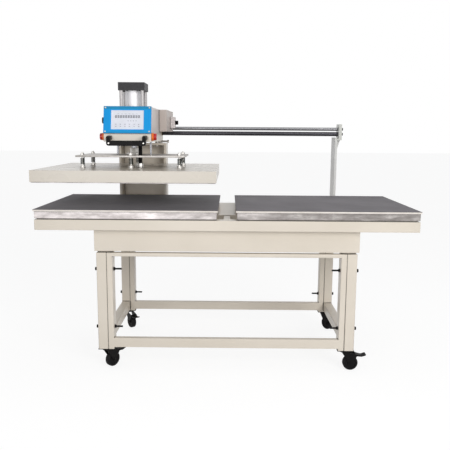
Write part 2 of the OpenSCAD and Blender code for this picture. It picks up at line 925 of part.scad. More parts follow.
module panel_bezel() {
    x = about(0, head_w + 2 * bezel_lip);
    y = [-bezel_t, 0];
    color("deepskyblue")
        on_panel()
            difference() {
                block(x, y, [0, panel_l + bezel_lip]);
                block(about(0, display_w), [y[0] - over, y[1] + over], about(panel_l / 2, display_h));
            }
}

module display_panel() {
    color("whitesmoke")
        on_panel() {
            difference() {
                block(about(0, display_w), [-panel_t, 0], about(panel_l / 2, display_h));
                block(about(0, digit_w), [-panel_t - over, digit_in - panel_t],
                    about(panel_l / 2 + digit_rise, digit_h));
            }
            for (i = [-2.5:1:2.5], drop = key_drops)
                block(about(i * key_pitch, key_w), [-panel_t - key_out, -panel_t],
                    about(panel_l / 2 - drop, key_h));
        }
}

module handle_shape() {
    end = handle_w / 2;
    bar_r = handle_bar_h / 2;
    mid_z = (handle_bar_z[0] + handle_bar_z[1]) / 2;
    arm_r = handle_arm_w / 2;
    arm_top = head_z + handle_rise - arm_r;
    union() {
        translate([bar_r - end, handle_bar_z[0]]) square([handle_w - handle_bar_h, handle_bar_h]);
        for (s = [-1, 1]) {
            translate([s * (end - bar_r), mid_z]) circle(r = bar_r);
            translate([s * (end - arm_r), arm_top]) circle(r = arm_r);
            translate([s * (end - arm_r) - arm_r, mid_z]) square([handle_arm_w, arm_top - mid_z]);
        }
    }
}

module handle() {
    y = [head_front_y - handle_gap - handle_t, head_front_y - handle_gap];
    lug_z = [head_z + handle_rise - handle_arm_w / 2 - handle_lug_h / 2,
        head_z + handle_rise - handle_arm_w / 2 + handle_lug_h / 2];
    color("black") {
        translate([head_x, y[1], 0]) rotate([90, 0, 0]) linear_extrude(height = handle_t) handle_shape();
        for (s = [-1, 1])
            block(about(head_x + s * (handle_w - handle_arm_w) / 2, handle_arm_w), [y[1], head_front_y],
                shrink(lug_z, sheet_t));
    }
}

module cap_bolt(c, y) {
    under = column_top_z - column_t;
    rod_z(rod_bolt_d, c, y, [under - hex_h / 2, column_top_z + cap_bolt_in]);
    hex_z(hex_af, c, y, [under - hex_h, under]);
}

module head_bolts() {
    handle_y = head_front_y - handle_gap - handle_t;
    screw_z = [screw_inset, panel_l + bezel_lip - screw_inset];
    stop_x = head_x + (bearing_pitch + bearing_w) / 2;
    color("lightgray") {
        for (s = [-1, 1]) {
            rod_y(screw_d, head_x + s * handle_screw_x, [handle_y - screw_h, handle_y],
                (handle_bar_z[0] + handle_bar_z[1]) / 2);
            on_panel()
                for (z = screw_z)
                    rod_y(screw_d, s * (head_w / 2 - screw_inset), [-bezel_t - screw_h, -bezel_t], z);
        }
        for (c = about(head_x, bearing_pitch), y = cap_bolt_ys()) cap_bolt(c, y);
        rod_x(stop_d, [stop_x, stop_x + stop_l], bearing_y[0] + stop_back, column_top_z + stop_rise);
        rod_x(stop_head_d, [stop_x + stop_l - stop_head_l, stop_x + stop_l], bearing_y[0] + stop_back,
            column_top_z + stop_rise);
    }
}

// Cylinder
module cylinder_cap(z, chamber, port_z) {
    y = head_y + cap_w / 2;
    difference() {
        block(about(head_x, cap_w), about(head_y, cap_w), z);
        rod_z(cushion_d, head_x, head_y, chamber);
        rod_y(cap_port_d, head_x, [head_y + cushion_d / 2 - over, y + over], port_z);
        for (a = about(head_x, tie_pitch), b = about(head_y, tie_pitch))
            rod_z(stub_d, a, b, [z[0] - over, z[1] + over]);
        children();
    }
}

module cylinder_caps() {
    low = [head_top_z, cap_top_z];
    high = [barrel_top_z, object_top_z];
    color("dimgray") {
        cylinder_cap(low, [low[1] - cushion_h, low[1] + over], low[1] - cap_port_in)
            rod_z(piston_rod_d + 2 * run_gap, head_x, head_y, [low[0] - over, low[1] + over]);
        cylinder_cap(high, [high[0] - over, high[0] + cushion_h], high[0] + cap_port_in)
            for (a = about(head_x, tie_pitch), b = about(head_y, tie_pitch))
                rod_z(tie_sink_d, a, b, [high[1] - tie_sink, high[1] + over]);
    }
}

module cylinder_barrel() {
    color("silver")
        difference() {
            rod_z(barrel_d, head_x, head_y, [cap_top_z, barrel_top_z]);
            rod_z(barrel_d - 2 * barrel_wall, head_x, head_y, [cap_top_z - over, barrel_top_z + over]);
        }
}

module tie_rods() {
    sink_z = object_top_z - tie_sink;
    color("silver")
        for (a = about(head_x, tie_pitch), b = about(head_y, tie_pitch)) {
            rod_z(tie_rod_d, a, b, [cap_top_z, barrel_top_z]);
            rod_z(stub_d, a, b, [head_top_z, sink_z + tie_nut_h / 2]);
            rod_z(tie_nut_d, a, b, [sink_z, sink_z + tie_nut_h]);
        }
}

module valve_block() {
    x = [head_x + arm_w / 2, valve_out_x];
    color("lightgray")
        difference() {
            union() {
                block(x, valve_y, valve_z);
                rod_x(knob_shaft_d, [x[0] - arm_wall, x[0]], valve_mid_y, valve_mid_z);
            }
            rod_x(knob_shaft_d + 2 * run_gap, [x[1] - knob_shaft_l - pass_gap, x[1] + over], valve_mid_y, valve_mid_z);
            rod_y(port_d, (x[0] + x[1]) / 2, [valve_y[1] - port_depth, valve_y[1] + over], valve_z[0] + port_drop);
        }
}

module power_inlet() {
    back = inlet_y + inlet_flange_t;
    color("dimgray") {
        difference() {
            union() {
                block(about(head_x, inlet_flange), [inlet_y, back], about(inlet_z, inlet_flange));
                rod_y(inlet_d, head_x, [inlet_y, back + inlet_l], inlet_z);
            }
            rod_y(inlet_bore_d, head_x, [back, back + inlet_l + over], inlet_z);
        }
        for (i = [0:1:inlet_pins - 1]) {
            a = i * 360 / inlet_pins + 90;
            rod_y(inlet_pin_d, head_x + inlet_pin_ring / 2 * cos(a), [back, back + inlet_pin_l],
                inlet_z + inlet_pin_ring / 2 * sin(a));
        }
    }
}

// Start buttons and knobs
module button_collars() {
    color("orangered")
        for (s = [-1, 1]) {
            near = head_w / 2;
            far = head_w / 2 + collar_l;
            translate([head_x, 0, 0])
                difference() {
                    rod_x(button_d + 2 * collar_wall, sided([near, far], s), button_y, button_z);
                    rod_x(button_d + 2 * run_gap, sided([far - collar_cup, far + over], s), button_y, button_z);
                    rod_x(stem_d + 2 * run_gap, sided([near - over, far], s), button_y, button_z);
                }
        }
}

module start_button(s) {
    r = button_d / 2;
    translate([head_x + s * button_x, button_y, button_z]) rotate([0, s * 90, 0])
        rotate_extrude()
            polygon([[0, -stem_l], [stem_d / 2, -stem_l], [stem_d / 2, 0], [r, 0],
                [r, button_l - button_rim], [r - button_rim, button_l], [0, button_l]]);
}

module start_button_left() {
    color("red") start_button(-1);
}

module start_button_right() {
    color("red") start_button(1);
}

module knob(d, h) {
    difference() {
        union() {
            cylinder(d = d, h = h);
            translate([0, 0, -knob_shaft_l]) cylinder(d = knob_shaft_d, h = knob_shaft_l + over);
        }
        for (i = [0:1:knob_flutes - 1])
            rotate([0, 0, i * 360 / knob_flutes]) translate([d / 2, 0, -over])
                cylinder(d = knob_flute_d, h = h + 2 * over, $fn = 24);
    }
}

module side_knob() {
    color("black")
        translate([head_x - head_w / 2 - slip_gap, knob_y, knob_z]) rotate([0, -90, 0]) knob(knob_d, knob_h);
}

module regulator_knob() {
    color("black")
        translate([valve_out_x + slip_gap, valve_mid_y, valve_mid_z]) rotate([0, 90, 0])
            knob(reg_knob_d, reg_knob_h);
}

// Pressing group
module piston_rod() {
    color("silver") {
        rod_z(piston_rod_d, head_x, head_y, [press_top_z + flange_t, piston_z[1]]);
        rod_z(barrel_d - 2 * barrel_wall - 2 * run_gap, head_x, head_y, piston_z);
    }
}

module rod_coupling() {
    color("silver") {
        difference() {
            union() {
                rod_z(flange_d, head_x, head_y, [press_top_z, press_top_z + flange_t]);
                rod_z(boss_d, head_x, head_y, [press_top_z, press_top_z + flange_t + boss_h]);
            }
            rod_z(piston_rod_d, head_x, head_y, [press_top_z + flange_t, press_top_z + flange_t + boss_h + over]);
        }
        for (i = [0:1:3]) {
            a = i * 90 + 45;
            rod_z(flange_bolt_head_d, head_x + flange_bolt_ring / 2 * cos(a), head_y + flange_bolt_ring / 2 * sin(a),
                [press_top_z + flange_t, press_top_z + flange_t + flange_bolt_head]);
        }
    }
}

module guide_rods() {
    color("silver")
        for (x = about(head_x, guide_pitch)) rod_z(guide_rod_d, x, head_y, [press_z, guide_top_z]);
}

module pressure_plate() {
    z = [press_z - over, press_top_z + over];
    color("lightgray")
        difference() {
            block(press_x, press_y, [press_z, press_top_z]);
            for (x = about(head_x, guide_pitch)) rod_z(guide_rod_d, x, head_y, z);
            for (x = bolt_x, y = bolt_y) rod_z(spring_bolt_d + 2 * run_gap, x, y, z);
            rod_z(lead_hole_d, lead_x, lead_y, z);
        }
}

module lead_sleeve() {
    r = sleeve_d / 2;
    l = sleeve_z[1] - sleeve_z[0];
    p = l / sleeve_ribs;
    outer = [for (i = [0:1:sleeve_ribs - 1]) each [[r - sleeve_groove, i * p], [r, (i + 0.25) * p],
        [r, (i + 0.75) * p]]];
    color("black")
        translate([lead_x, lead_y, sleeve_z[0]]) rotate_extrude()
            polygon(concat([[r - sleeve_wall, 0]], outer, [[r - sleeve_groove, l], [r - sleeve_wall, l]]));
}

// Hot platen
module heat_platen() {
    color("silver")
        difference() {
            block(shrink(cover_x, hot_margin), shrink(cover_y, hot_margin), [hot_z, hot_top_z]);
            for (x = bolt_x, y = bolt_y) rod_z(spring_bolt_d, x, y, [hot_top_z - bolt_in, hot_top_z + over]);
        }
}

module platen_insulation() {
    z = [hot_top_z, cover_top_z - sheet_t];
    color("khaki")
        difference() {
            block(shrink(cover_x, sheet_t), shrink(cover_y, sheet_t), z);
            for (x = bolt_x, y = bolt_y) rod_z(spring_bolt_d, x, y, [z[0] - over, z[1] + over]);
        }
}

module platen_cover() {
    color("wheat")
        difference() {
            block(cover_x, cover_y, [cover_z, cover_top_z]);
            block(shrink(cover_x, sheet_t), shrink(cover_y, sheet_t), [cover_z - over, cover_top_z - sheet_t]);
            for (x = bolt_x, y = bolt_y)
                rod_z(spring_bolt_d, x, y, [cover_top_z - sheet_t - over, cover_top_z + over]);
            rod_z(lead_hole_d, lead_x, lead_y, [cover_top_z - sheet_t - over, cover_top_z + over]);
        }
}

module lead_collar() {
    z = [cover_top_z, cover_top_z + float_travel + lead_collar_rise];
    color("lightgray")
        difference() {
            rod_z(lead_hole_d + 2 * lead_collar_wall, lead_x, lead_y, z);
            rod_z(lead_hole_d, lead_x, lead_y, [z[0] - over, z[1] + over]);
        }
}

module spring_bolts() {
    nut_z = [press_top_z + slip_gap, press_top_z + slip_gap + nut_h];
    color("lightgray")
        for (x = bolt_x, y = bolt_y) {
            rod_z(spring_bolt_d, x, y, [hot_top_z - bolt_in, nut_z[1] + bolt_tip]);
            rod_z(seat_d, x, y, [cover_top_z, seat_z]);
            hex_z(nut_af, x, y, nut_z);
        }
}

// Springs: each is one tube whose ends run straight up and down into their seats
ring_sides = 6;
turn_rings = 8;
bend_rings = 3;
bend_r = spring_wire;
coil_r = (spring_d - spring_wire) / 2;
coil_rise = spring_h - 2 * spring_wire;
function bend_turn(t) = bend_r * (1 - cos(t)) / coil_r * 180 / PI;
function bend_rise(t) = bend_r * sin(t);
// Slope of the coil, found from its rise without the two bends
slope = atan((coil_rise - 2 * bend_r) / (2 * PI * coil_r * spring_turns));
lean = 90 - slope;
coil_low = spring_wire + bend_rise(lean);
coil_high = spring_h - coil_low;
start_turn = bend_turn(lean);
coil_rings = turn_rings * spring_turns;
// Each row is the angle round the spring, the height and the slope of the wire
low_rows = concat([[0, 0, 90], [0, spring_wire, 90]],
    [for (i = [1:1:bend_rings - 1]) let (t = lean * i / bend_rings)
        [bend_turn(t), spring_wire + bend_rise(t), 90 - t]]);
coil_rows = [for (i = [0:1:coil_rings])
    [start_turn + 360 * spring_turns * i / coil_rings,
        coil_low + (coil_high - coil_low) * i / coil_rings, slope]];
full_turn = start_turn * 2 + 360 * spring_turns;
high_rows = [for (i = [len(low_rows) - 1:-1:0])
    [full_turn - low_rows[i][0], spring_h - low_rows[i][1], low_rows[i][2]]];
rows = concat(low_rows, coil_rows, high_rows);
function ring_point(row, k) = let (a = 360 * k / ring_sides, q = spring_wire / 2,
        out = coil_r + q * cos(a), side = q * sin(a) * sin(row[2]), up = -q * sin(a) * cos(row[2]))
    [out * cos(row[0]) - side * sin(row[0]), out * sin(row[0]) + side * cos(row[0]), row[1] + up];
spring_points = [for (row = rows, k = [0:1:ring_sides - 1]) ring_point(row, k)];
last_ring = (len(rows) - 1) * ring_sides;
spring_faces = concat(
    [for (k = [1:1:ring_sides - 2]) [0, k, k + 1]],
    [for (k = [1:1:ring_sides - 2]) [last_ring, last_ring + k + 1, last_ring + k]],
    [for (i = [0:1:len(rows) - 2], k = [0:1:ring_sides - 1]) let (n = (k + 1) % ring_sides, b = i * ring_sides)
        each [[b + k, b + ring_sides + k, b + n], [b + n, b + ring_sides + k, b + ring_sides + n]]]);
// Least distance between points that are at least five rings apart along the wire
function ring_gap(i, j) = min([for (a = [0:1:ring_sides - 1], b = [0:1:ring_sides - 1])
    norm(spring_points[i * ring_sides + a] - spring_points[j * ring_sides + b])]);
spring_gap = min([for (i = [0:1:len(rows) - 6], j = [i + 5:1:min(i + 11, len(rows) - 1)]) ring_gap(i, j)]);

module platen_springs() {
    echo(spring_gap = spring_gap);
    color("darkslategray")
        for (x = bolt_x, y = bolt_y)
            translate([x, y, seat_z]) polyhedron(points = spring_points, faces = spring_faces);
}

// Casters
module at_caster(i) {
    translate([caster_x[i], caster_y[i], 0]) rotate([0, 0, caster_angles[i]]) children();
}

module caster_plates() {
    plate_z = [caster_h - caster_plate_t, caster_h];
    head_z = [fork_disc_z - slip_gap - pin_head_t, fork_disc_z - slip_gap];
    color("dimgray")
        for (i = [0:1:3]) {
            block(about(caster_x[i], plate_l), about(caster_y[i], leg_d), plate_z);
            rod_z(pin_d, caster_x[i], caster_y[i], [head_z[0], plate_z[0]]);
            rod_z(pin_head_d, caster_x[i], caster_y[i], head_z);
        }
}

module fork_side() {
    difference() {
        union() {
            polygon([[-fork_back, fork_disc_z + fork_rise], [fork_back, fork_disc_z + fork_rise],
                [pivot_x, pivot_z + pivot_boss_r], [pivot_x + pivot_neck[0], pivot_z - pivot_neck[1]],
                [caster_trail + axle_neck[0], wheel_r + axle_neck[1]],
                [caster_trail - axle_neck[0], wheel_r + axle_neck[1]]]);
            translate([caster_trail, wheel_r]) circle(r = axle_boss_r);
            translate([pivot_x, pivot_z]) circle(r = pivot_boss_r);
        }
        translate([caster_trail, wheel_r]) circle(d = axle_d);
        translate([pivot_x, pivot_z]) circle(d = pivot_d);
    }
}

module caster_fork() {
    difference() {
        union() {
            rod_z(fork_disc_d, 0, 0, [fork_disc_z, fork_top_z]);
            for (s = [-1, 1])
                translate([0, s * (fork_in + fork_t / 2) + fork_t / 2, 0]) rotate([90, 0, 0])
                    linear_extrude(height = fork_t) fork_side();
        }
        rod_z(pin_d + 2 * run_gap, 0, 0, [fork_disc_z - over, fork_top_z + over]);
    }
    fork_out = fork_in + fork_t;
    rod_y(axle_d, caster_trail, [-fork_out, fork_out], wheel_r);
    for (y = [[-fork_out - axle_head_t, -fork_out], [fork_out, fork_out + axle_head_t]])
        rod_y(axle_head_d, caster_trail, y, wheel_r);
    rod_y(pivot_d, pivot_x, [-fork_out, fork_out], pivot_z);
}

module caster_wheel() {
    half = wheel_w / 2;
    hub = fork_in - hub_gap;
    bore = axle_d / 2 + run_gap;
    rim = wheel_r - rim_in;
    translate([caster_trail, 0, wheel_r]) rotate([90, 0, 0]) rotate_extrude()
        polygon([[bore, -hub], [hub_d / 2, -hub], [hub_d / 2, -web_half], [rim, -web_half],
            [rim + rim_lip, -half], [wheel_r - tyre_chamfer, -half], [wheel_r, tyre_chamfer - half],
            [wheel_r, half - tyre_chamfer], [wheel_r - tyre_chamfer, half], [rim + rim_lip, half],
            [rim, web_half], [hub_d / 2, web_half], [hub_d / 2, hub], [bore, hub]]);
}

module brake_pedal() {
    half = fork_in - slip_gap;
    difference() {
        union() {
            rod_y(2 * pivot_boss_r, pivot_x, [-half, half], pivot_z);
            translate([pivot_x, half, pivot_z]) rotate([90, 0, 0]) linear_extrude(height = 2 * half)
                polygon([pedal_root, [pedal_out[0], -pedal_top[0]], [pedal_out[1], pedal_top[1]],
                    [pedal_out[2], pedal_top[2]], [pedal_out[1], -pedal_low[1]],
                    [pedal_out[0], -pedal_low[0]], [pedal_root[0], -pedal_root[1]]]);
        }
        rod_y(pivot_d + 2 * run_gap, pivot_x, [-half - over, half + over], pivot_z);
    }
}

module caster_fork_fl() {
    color("dimgray") at_caster(0) caster_fork();
}

module caster_fork_fr() {
    color("dimgray") at_caster(1) caster_fork();
}

module caster_fork_rl() {
    color("dimgray") at_caster(2) caster_fork();
}

module caster_fork_rr() {
    color("dimgray") at_caster(3) caster_fork();
}

module caster_wheel_fl() {
    color("black") at_caster(0) caster_wheel();
}

module caster_wheel_fr() {
    color("black") at_caster(1) caster_wheel();
}

module caster_wheel_rl() {
    color("black") at_caster(2) caster_wheel();
}

module caster_wheel_rr() {
    color("black") at_caster(3) caster_wheel();
}

module brake_pedal_fl() {
    color("black") at_caster(0) brake_pedal();
}

module brake_pedal_fr() {
    color("black") at_caster(1) brake_pedal();
}

module brake_pedal_rl() {
    color("black") at_caster(2) brake_pedal();
}

module brake_pedal_rr() {
    color("black") at_caster(3) brake_pedal();
}

side_frame_left();
side_frame_right();
front_frame();
rear_frame();
frame_bolts();
base_frame();
base_beams();
table_frame();
lower_plates();
foam_layers();
pads();
post_left();
post_right();
overhead_rods();
carriage_rail();
caster_plates();
column();
carriage_blocks();
bearing_blocks();
linear_bushes();
arm_housing();
head_box();
control_box();
panel_bezel();
display_panel();
handle();
head_bolts();
cylinder_caps();
cylinder_barrel();
tie_rods();
valve_block();
power_inlet();
button_collars();
start_button_left();
start_button_right();
side_knob();
regulator_knob();
piston_rod();
rod_coupling();
guide_rods();
pressure_plate();
lead_sleeve();
heat_platen();
platen_insulation();
platen_cover();
lead_collar();
spring_bolts();
platen_springs();
caster_fork_fl();
caster_fork_fr();
caster_fork_rl();
caster_fork_rr();
caster_wheel_fl();
caster_wheel_fr();
caster_wheel_rl();
caster_wheel_rr();
brake_pedal_fl();
brake_pedal_fr();
brake_pedal_rl();
brake_pedal_rr();
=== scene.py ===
import json
import math

import bmesh
import bpy
from mathutils import Matrix, Vector, noise

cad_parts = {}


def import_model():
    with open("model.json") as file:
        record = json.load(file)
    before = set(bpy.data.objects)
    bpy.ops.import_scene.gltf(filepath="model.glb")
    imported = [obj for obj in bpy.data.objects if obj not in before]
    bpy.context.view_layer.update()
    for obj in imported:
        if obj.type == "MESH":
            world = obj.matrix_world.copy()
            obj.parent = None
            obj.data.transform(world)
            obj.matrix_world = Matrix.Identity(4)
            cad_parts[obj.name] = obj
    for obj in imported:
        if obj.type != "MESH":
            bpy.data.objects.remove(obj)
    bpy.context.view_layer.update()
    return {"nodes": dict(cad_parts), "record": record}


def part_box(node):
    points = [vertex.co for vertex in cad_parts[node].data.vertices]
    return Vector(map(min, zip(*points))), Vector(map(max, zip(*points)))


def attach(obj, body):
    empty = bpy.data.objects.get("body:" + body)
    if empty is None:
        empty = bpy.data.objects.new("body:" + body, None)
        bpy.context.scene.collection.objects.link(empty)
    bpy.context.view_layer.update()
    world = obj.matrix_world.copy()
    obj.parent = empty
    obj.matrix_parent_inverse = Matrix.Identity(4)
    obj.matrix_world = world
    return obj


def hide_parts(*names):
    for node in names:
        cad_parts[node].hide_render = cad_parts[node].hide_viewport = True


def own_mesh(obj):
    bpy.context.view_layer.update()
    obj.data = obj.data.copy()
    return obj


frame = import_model()
nodes = frame["nodes"]
record = frame["record"]
body_of = {n: b for b, names in record["behaviour"]["bodies"].items() for n in names}
slot_of = {s["node"]: s["material_slot"] for s in record["subparts"]}


# Camera, fitted to the photograph
def make_camera():
    pitch, yaw, roll = 0.1559, -0.0072, 0.0064
    eye = Vector((0.0120, -3.5455, 1.3030))
    focal_pixels, photo_width, sensor_width = 577.06, 450, 36
    ahead = Vector((math.sin(yaw) * math.cos(pitch), math.cos(yaw) * math.cos(pitch), -math.sin(pitch)))
    right = Vector((math.cos(yaw), -math.sin(yaw), 0))
    up = right.cross(ahead)
    side = right * math.cos(roll) + up * math.sin(roll)
    top = up * math.cos(roll) - right * math.sin(roll)
    data = bpy.data.cameras.new("camera")
    data.sensor_fit = "HORIZONTAL"
    data.sensor_width = sensor_width
    data.lens = focal_pixels / photo_width * sensor_width
    cam = bpy.data.objects.new("camera", data)
    place = Matrix((side, top, -ahead)).transposed().to_4x4()
    place.translation = eye
    cam.matrix_world = place
    bpy.context.scene.collection.objects.link(cam)
    bpy.context.scene.camera = cam


make_camera()


# Materials
def linear(value):
    """The linear light of a screen value from 0 to 255, by the sRGB curve."""
    share = value / 255
    if share <= 0.04045:
        return share / 12.92
    return ((share + 0.055) / 1.055) ** 2.4


def srgb(r, g, b):
    return (linear(r), linear(g), linear(b), 1)


def scaled(colour, share):
    return tuple(c * share for c in colour[:3]) + (1,)


class Shader:
    """A principled material whose colour, roughness and bump come from object space noise."""

    def __init__(self, name, rough=0.5, metal=0.0, coat=0.0, coat_rough=0.1, spec=0.5, sheen=0.0):
        self.mat = bpy.data.materials.new(name)
        self.mat.use_nodes = True
        self.tree = self.mat.node_tree
        self.out = self.tree.nodes["Principled BSDF"]
        self.out.inputs["Roughness"].default_value = rough
        self.out.inputs["Metallic"].default_value = metal
        self.out.inputs["Coat Weight"].default_value = coat
        self.out.inputs["Coat Roughness"].default_value = coat_rough
        self.out.inputs["Specular IOR Level"].default_value = spec
        self.out.inputs["Sheen Weight"].default_value = sheen
        self.coords = self.node("ShaderNodeTexCoord").outputs["Object"]

    def node(self, kind, **values):
        made = self.tree.nodes.new(kind)
        for key, value in values.items():
            setattr(made, key, value)
        return made

    def link(self, a, b):
        self.tree.links.new(a, b)

    def stretched(self, scale):
        made = self.node("ShaderNodeMapping")
        made.inputs["Scale"].default_value = scale
        self.link(self.coords, made.inputs["Vector"])
        return made.outputs["Vector"]

    def noise(self, scale, detail=3, stretch=None, rough=0.5):
        made = self.node("ShaderNodeTexNoise")
        made.inputs["Scale"].default_value = scale
        made.inputs["Detail"].default_value = detail
        made.inputs["Roughness"].default_value = rough
        self.link(self.stretched(stretch) if stretch else self.coords, made.inputs["Vector"])
        return made.outputs["Fac"]

    def axis(self, letter):
        made = self.node("ShaderNodeSeparateXYZ")
        self.link(self.coords, made.inputs["Vector"])
        return made.outputs[letter]

    def ramp(self, fac, stops):
        made = self.node("ShaderNodeValToRGB")
        band = made.color_ramp
        while len(band.elements) < len(stops):
            band.elements.new(0.5)
        for element, (at, colour) in zip(band.elements, stops):
            element.position = at
            element.color = colour
        self.link(fac, made.inputs["Fac"])
        return made.outputs["Color"]

    def span(self, fac, low, high, at=(0.3, 0.7)):
        made = self.node("ShaderNodeMapRange")
        made.inputs["From Min"].default_value = at[0]
        made.inputs["From Max"].default_value = at[1]
        made.inputs["To Min"].default_value = low
        made.inputs["To Max"].default_value = high
        self.link(fac, made.inputs["Value"])
        return made.outputs["Result"]

    def colour(self, socket):
        self.link(socket, self.out.inputs["Base Color"])

    def roughness(self, socket):
        self.link(socket, self.out.inputs["Roughness"])

    def bump(self, height, strength=0.2, distance=0.0005, edge=0.0):
        made = self.node("ShaderNodeBump")
        made.inputs["Strength"].default_value = strength
        made.inputs["Distance"].default_value = distance
        self.link(height, made.inputs["Height"])
        if edge:
            soft = self.node("ShaderNodeBevel", samples=4)
            soft.inputs["Radius"].default_value = edge
            self.link(soft.outputs["Normal"], made.inputs["Normal"])
        self.link(made.outputs["Normal"], self.out.inputs["Normal"])

    def painted_crevice_shade(self, base, shade_tone, reach=0.009):
        """The base colour, darkened by painted shade where two surfaces meet."""
        near = self.node("ShaderNodeAmbientOcclusion", samples=6)
        near.inputs["Distance"].default_value = reach
        painted_shade = self.ramp(self.noise(40, 2), [(0.3, shade_tone), (0.7, scaled(shade_tone, 1.15))])
        return self.mix(self.span(near.outputs["AO"], 0.0, 1.0, (0.55, 0.97)), painted_shade, base)

    def by_height(self, level, below, above, blend=0.001):
        """One colour under a level and another over it."""
        return self.mix(self.span(self.axis("Z"), 0.0, 1.0, (level - blend, level + blend)), below, above)

    def mix(self, fac, a, b):
        made = self.node("ShaderNodeMix", data_type="RGBA")
        self.link(fac, made.inputs["Factor"])
        self.link(a, made.inputs["A"])
        self.link(b, made.inputs["B"])
        return made.outputs["Result"]


def paint(name, tone, low, rough=(0.32, 0.45), coat=0.2, bump=0.10, grain=900, edge=0.0008, spec=0.4):
    s = Shader(name, coat=coat, coat_rough=0.22, spec=spec)
    base = s.ramp(s.noise(2.2, 4), [(0.30, low), (0.70, tone)])
    # Painted shade darkens the paint in corners and seams.
    s.colour(s.painted_crevice_shade(base, scaled(low, 0.16)))
    s.roughness(s.span(s.noise(9, 4), *rough))
    s.bump(s.noise(grain, 2), bump, 0.0003, edge)
    return s.mat


def metal(name, tone, low, rough=(0.25, 0.4), stretch=(1, 1, 1), scale=60, bump=0.05, metallic=1.0,
          edge=0.0005, spec=0.5):
    s = Shader(name, metal=metallic, spec=spec)
    grain = s.noise(scale, 5, stretch, 0.6)
    s.colour(s.ramp(grain, [(0.30, low), (0.70, tone)]))
    s.roughness(s.span(s.noise(scale / 2, 4, stretch), *rough))
    s.bump(grain, bump, 0.0003, edge)
    return s.mat


def plastic(name, tone, low, rough=(0.3, 0.45), coat=0.0, grain=1500, bump=0.08, edge=0.0005, spec=0.4):
    s = Shader(name, coat=coat, coat_rough=0.08, spec=spec)
    s.colour(s.ramp(s.noise(14, 3), [(0.35, low), (0.65, tone)]))
    s.roughness(s.span(s.noise(30, 3), *rough))
    s.bump(s.noise(grain, 2), bump, 0.0002, edge)
    return s.mat


def milled(name, bright, tone, dark):
    """Bare aluminium plate: milling streaks along X under cloudy scuffs with painted reflections, darker to
    the right by painted shade.
    """
    s = Shader(name, metal=0.4)
    streak = s.noise(90, 4, (0.12, 1, 1.6), 0.65)
    cloud = s.noise(20, 5, (0.55, 1, 1.7), 0.62)
    base = s.ramp(streak, [(0.30, dark), (0.70, tone)])
    # Cloudy scuffs, partly real and partly painted reflections.
    scuffs_and_painted_reflections = s.ramp(cloud, [(0.36, dark), (0.50, tone), (0.64, bright)])
    mottled = s.mix(s.span(s.noise(6, 3), 0.55, 0.95), base, scuffs_and_painted_reflections)
    # Painted shade: the plate turns darker towards +X.
    right_painted_shade = s.ramp(cloud, [(0.34, srgb(112, 107, 104)), (0.52, srgb(138, 133, 130)),
                          (0.66, srgb(178, 173, 170))])
    shaded_to_right = s.mix(s.span(s.axis("X"), 0.0, 0.9, (-0.4, 0.4)), mottled, right_painted_shade)
    # Painted shade darkens the plate where it meets other parts.
    s.colour(s.painted_crevice_shade(shaded_to_right, srgb(70, 66, 64), 0.006))
    s.roughness(s.span(cloud, 0.50, 0.38))
    s.bump(streak, 0.08, 0.0003, 0.0006)
    return s.mat


def post_paint(name, tone, low, block):
    """Pale post, with a greyer block at the ends of the rods."""
    block_height = 0.106
    s = Shader(name, coat=0.15, coat_rough=0.22, spec=0.4)
    base = s.ramp(s.noise(2.2, 4), [(0.30, low), (0.70, tone)])
    grey = s.ramp(s.noise(40, 3), [(0.3, block[1]), (0.7, block[0])])
    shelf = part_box("post_right")[1][2] - block_height
    s.colour(s.by_height(shelf, base, grey))
    s.roughness(s.span(s.noise(9, 4), 0.34, 0.46))
    s.bump(s.noise(900, 2), 0.10, 0.0003, 0.0008)
    return s.mat


def rod_pair(name, upper, lower):
    """Ground rods: the thin upper one is bright, the thick lower one is darkened by painted shade."""
    gap_depth = 0.024
    s = Shader(name, metal=0.75)
    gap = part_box("overhead_rods")[1][2] - gap_depth
    grain = s.noise(160, 4, (0.02, 1, 1), 0.5)
    bright = s.ramp(grain, [(0.2, upper[1]), (0.8, upper[0])])
    # Painted shade: the lower rod takes dark tones.
    shaded_lower_rod = s.ramp(grain, [(0.2, lower[1]), (0.8, lower[0])])
    s.colour(s.by_height(gap, shaded_lower_rod, bright))
    s.roughness(s.span(grain, 0.24, 0.32))
    s.bump(grain, 0.02, 0.0002)
    return s.mat


def panel_plastic(name, tone, low, shade, low_z, high_z):
    """Coated blue plate, darker along its top and bottom strips."""
    strip_share, near, far, bottom_shade = 0.11, 0.85, 1.15, 0.35
    s = Shader(name, coat=0.05, coat_rough=0.12, spec=0.25)
    base = s.ramp(s.noise(9, 3), [(0.35, low), (0.65, tone)])
    strip = (high_z - low_z) * strip_share
    top = s.span(s.axis("Z"), 0.0, 1.0, (high_z - strip * far, high_z - strip * near))
    bottom = s.span(s.axis("Z"), bottom_shade, 0.0, (low_z + strip * near, low_z + strip * far))
    both = s.node("ShaderNodeMath", operation="MAXIMUM")
    s.link(top, both.inputs[0])
    s.link(bottom, both.inputs[1])
    s.colour(s.mix(both.outputs["Value"], base, s.ramp(s.noise(9, 3), [(0.3, shade), (0.7, shade)])))
    s.roughness(s.span(s.noise(30, 3), 0.30, 0.42))
    s.bump(s.noise(1500, 2), 0.06, 0.0002, 0.0008)
    return s.mat


